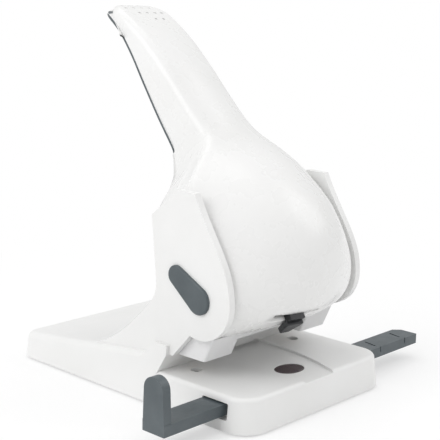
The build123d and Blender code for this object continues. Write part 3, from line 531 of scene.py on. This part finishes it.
def add_grip_cover(finish):
    """Dark strip under the arm, from its root to the tip."""
    line = smooth_line([(COVER_START_S, COVER_START_H)] + covered_under(), STEPS)
    sections = []
    for s, h in line:
        width = half_width(s)
        edge = min(STRIP_EDGE, 0.4 * width)
        ring = [(-width, COVER_THICK), (-width, edge)]
        ring += [(-width + edge, 0.0), (-width / 2, 0.0), (0.0, 0.0), (width / 2, 0.0)]
        ring += [(width - edge, 0.0), (width, edge), (width, COVER_THICK)]
        sections.append([(x, *along_arm(s, h + up)) for x, up in ring])
    count = len(sections[0])
    points = [p for section in sections for p in section]
    faces = [
        (t * count + k, t * count + (k + 1) % count,
         (t + 1) * count + (k + 1) % count, (t + 1) * count + k)
        for t in range(len(sections) - 1) for k in range(count)
    ]
    faces.append(tuple(reversed(range(count))))
    faces.append(tuple(range(len(points) - count, len(points))))
    return make_mesh("grip_strip", points, faces, "handle", "grip_cover", finish)


SCREW_SS = (100.0 * MM, 144.0 * MM)
SCREW_RADIUS = 2.7 * MM
SCREW_PROUD = 0.5 * MM
SCREW_DEPTH = 3.0 * MM
SCREW_SIDES = 24


def add_cover_screws(finish):
    """Two pan heads that hold the grip strip."""
    line = smooth_line([(s * MM, h * MM) for s, h in UNDER], STEPS)
    count = SCREW_SIDES
    points, faces = [], []
    for at in SCREW_SS:
        h = min(line, key=lambda p: abs(p[0] - at))[1]
        for up in (-SCREW_PROUD, -SCREW_PROUD * 0.6, SCREW_DEPTH):
            radius = SCREW_RADIUS * (0.86 if up == -SCREW_PROUD else 1.0)
            for i in range(count):
                turn = 2 * pi * i / count
                y, z = along_arm(at + radius * sin(turn), h + up)
                points.append((radius * cos(turn), y, z))
        base = len(points) - 3 * count
        for level in (0, count):
            for i in range(count):
                j = (i + 1) % count
                faces.append((base + level + i, base + level + j,
                              base + level + count + j, base + level + count + i))
        faces.append(tuple(base + i for i in reversed(range(count))))
        faces.append(tuple(base + 2 * count + i for i in range(count)))
    return make_mesh("strip_screws", points, faces, "handle", "cover_screws", finish)


PUNCH_X = 40.0 * MM


def shorten_springs():
    """Gives each return spring a mesh of its own; the springs are not shortened here."""
    for side, x in (("left", -PUNCH_X), ("right", PUNCH_X)):
        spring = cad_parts[f"return_spring_{side}"]
        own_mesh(spring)


# ---------------------------------------------------------------- floor and light
FLOOR_SIZE = 6.0
SHADOW_REACH = 0.12        # the shadow shows in full this far out
WHITE_REACH = 0.36         # and the floor is plain white to the camera past this
NEAR_WHITE = 0.5           # share of white that softens the shadow near the object


def white_surround(tree, shader, place):
    """The finish near the object, running over to plain white further out."""
    path = tree.nodes.new("ShaderNodeLightPath")
    seen = tree.nodes.new("ShaderNodeMath")
    seen.operation = "MAXIMUM"
    tree.links.new(path.outputs["Is Camera Ray"], seen.inputs[0])
    tree.links.new(path.outputs["Is Glossy Ray"], seen.inputs[1])
    clear = tree.nodes.new("ShaderNodeMath")
    clear.operation = "MAXIMUM"
    tree.links.new(seen.outputs["Value"], clear.inputs[0])
    tree.links.new(path.outputs["Is Transmission Ray"], clear.inputs[1])
    reach = tree.nodes.new("ShaderNodeVectorMath")
    reach.operation = "LENGTH"
    tree.links.new(place, reach.inputs[0])
    far = spread(tree, reach.outputs["Value"], NEAR_WHITE, 1.0, SHADOW_REACH, WHITE_REACH)
    share = tree.nodes.new("ShaderNodeMath")
    share.operation = "MULTIPLY"
    tree.links.new(far, share.inputs[0])
    tree.links.new(clear.outputs["Value"], share.inputs[1])
    white = tree.nodes.new("ShaderNodeEmission")
    mix = tree.nodes.new("ShaderNodeMixShader")
    tree.links.new(share.outputs["Value"], mix.inputs["Fac"])
    tree.links.new(shader.outputs["BSDF"], mix.inputs[1])
    tree.links.new(white.outputs["Emission"], mix.inputs[2])
    tree.links.new(mix.outputs["Shader"], tree.nodes["Material Output"].inputs["Surface"])


def add_floor():
    """Plain pale floor that keeps the object's shadow."""
    half = FLOOR_SIZE / 2
    mesh = bpy.data.meshes.new("floor")
    corners = [(-half, -half, 0), (half, -half, 0), (half, half, 0), (-half, half, 0)]
    mesh.from_pydata(corners, [], [(0, 1, 2, 3)])
    floor = bpy.data.objects.new("floor", mesh)
    bpy.context.scene.collection.objects.link(floor)
    material, tree, shader, place = new_material("pale_floor")
    shader.inputs["Base Color"].default_value = (0.95, 0.95, 0.95, 1)
    shader.inputs["Roughness"].default_value = 0.55
    white_surround(tree, shader, place)
    mesh.materials.append(material)


def add_area_light(name, at, aim, size, power):
    """Soft square lamp that points at aim."""
    data = bpy.data.lights.new(name, "AREA")
    data.shape = "SQUARE"
    data.size = size
    data.energy = power
    lamp = bpy.data.objects.new(name, data)
    bpy.context.scene.collection.objects.link(lamp)
    lamp.location = at
    lamp.rotation_euler = (Vector(aim) - Vector(at)).to_track_quat("-Z", "Y").to_euler()


def add_light():
    """Soft studio light from the upper left and right, over a white surround."""
    middle = (0, 0.02, 0.09)
    add_area_light("left_softbox", (-1.3, 0.2, 1.1), middle, 1.0, 8.5)
    add_area_light("right_softbox", (1.1, -0.7, 1.2), middle, 1.0, 5)
    add_area_light("top_softbox", (0.1, 0.5, 1.7), middle, 1.2, 5.5)
    world = bpy.data.worlds.new("studio")
    bpy.context.scene.world = world
    world.use_nodes = True
    tree = world.node_tree
    background = tree.nodes["Background"]
    path = tree.nodes.new("ShaderNodeLightPath")
    strength = tree.nodes.new("ShaderNodeMapRange")
    strength.inputs["To Min"].default_value = 0.72
    strength.inputs["To Max"].default_value = 1.0
    tree.links.new(path.outputs["Is Camera Ray"], strength.inputs["Value"])
    tree.links.new(strength.outputs["Result"], background.inputs["Strength"])
    background.inputs["Color"].default_value = (1, 1, 1, 1)


bpy.context.scene.view_settings.view_transform = "Standard"
add_camera()
finishes = dress_nodes()
add_hood(finishes["handle_shell"])
add_grip_cover(finishes["grip_cover"])
add_cover_screws(finishes["cover_screws"])
shorten_springs()
add_floor()
add_light()
